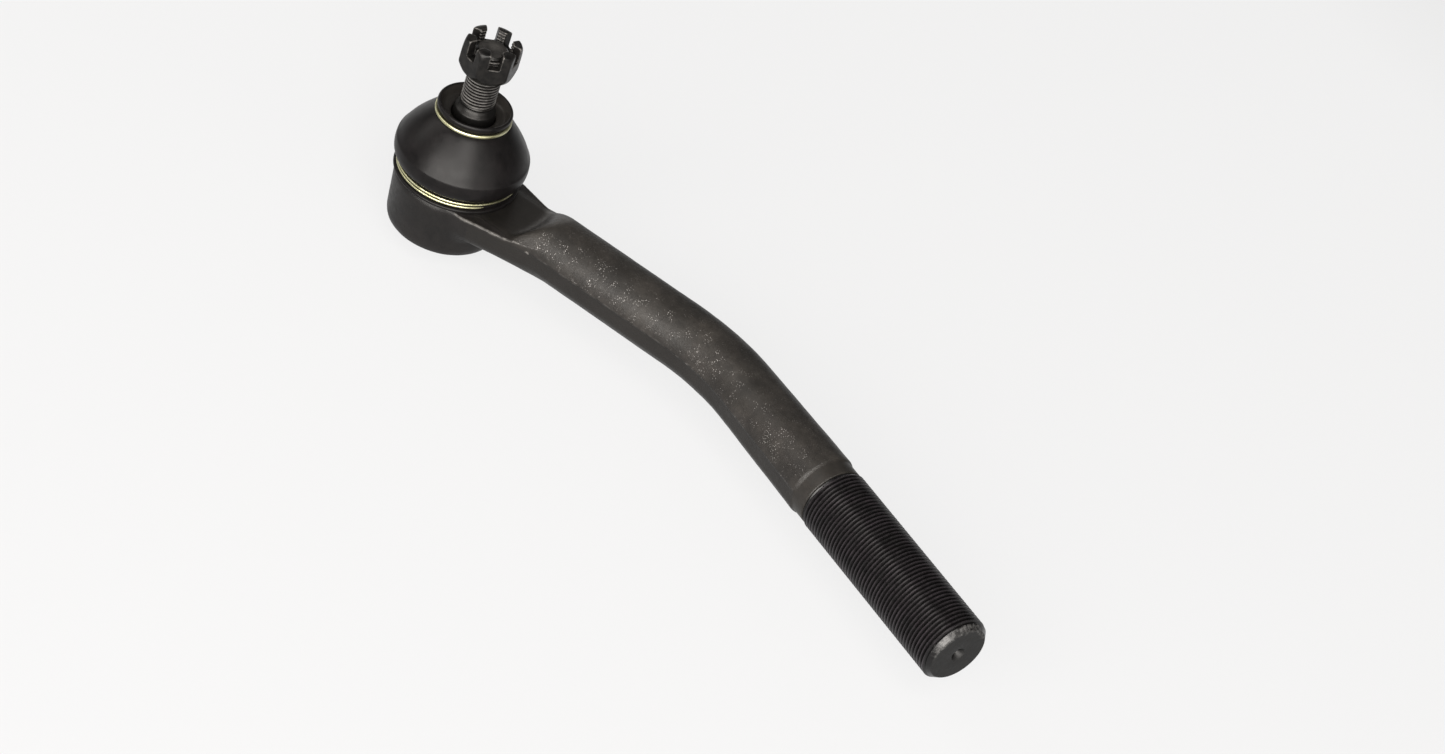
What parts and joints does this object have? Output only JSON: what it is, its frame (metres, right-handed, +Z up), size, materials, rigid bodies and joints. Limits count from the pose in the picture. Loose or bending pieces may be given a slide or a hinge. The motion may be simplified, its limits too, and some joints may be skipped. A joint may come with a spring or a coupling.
{
  "type": "tie rod end",
  "caption": "Tie rod end with an upright tapered ball stud, castle nut, rubber boot and a cranked bar ending in a long threaded shank.",
  "frame": {"origin": "centre of the ball, on the stud's axis and on the bar's middle plane", "axes": "+Z up along the ball stud towards its threaded end, +X along the first leg of the bar away from the ball, the bar bends towards -Y"},
  "size_m": [0.2894, 0.0903, 0.0921],
  "materials": {
    "forging_paint": "satin",
    "stud_steel": "satin",
    "nut_black": "satin",
    "boot_rubber": "satin",
    "ring_zinc": "gloss",
    "bearing_plastic": "matte",
    "seat_steel": "satin",
    "spring_steel": "satin",
    "cover_steel": "satin",
    "fitting_zinc": "satin"
  },
  "bodies": {
    "housing": {"forged_body": "forging_paint", "upper_bearing": "bearing_plastic", "lower_bearing": "seat_steel", "preload_spring": "spring_steel", "cover_plate": "cover_steel", "grease_fitting": "fitting_zinc", "grease_check_spring": "spring_steel", "boot_lower_ring": "ring_zinc"},
    "boot": {"dust_boot": "boot_rubber"},
    "boot_neck": {"boot_upper_ring": "ring_zinc"},
    "stud": {"ball_stud": "stud_steel"},
    "nut": {"castle_nut": "nut_black"},
    "valve": {"grease_check_ball": "seat_steel"}
  },
  "joints": [
    {"name": "stud_tilt_x", "type": "hinge", "parent": "housing", "child": "boot", "pos_m": [0, 0, 0], "axis": [1, 0, 0], "range_deg": [-18, 18], "deforming": ["dust_boot"]},
    {"name": "stud_tilt_y", "type": "hinge", "parent": "boot", "child": "boot_neck", "pos_m": [0, 0, 0], "axis": [0, 1, 0], "range_deg": [-18, 18]},
    {"name": "stud_spin", "type": "hinge", "parent": "boot_neck", "child": "stud", "pos_m": [0, 0, 0], "axis": [0, 0, 1], "continuous": true},
    {"name": "nut_turn", "type": "hinge", "parent": "stud", "child": "nut", "pos_m": [0, 0, 0.056], "axis": [0, 0, 1], "continuous": true},
    {"name": "valve_push", "type": "slide", "parent": "housing", "child": "valve", "axis": [0, 0, 1], "range_m": [0, 0.0008], "stiffness_N_per_m": 60, "deforming": ["grease_check_spring"]}
  ]
}
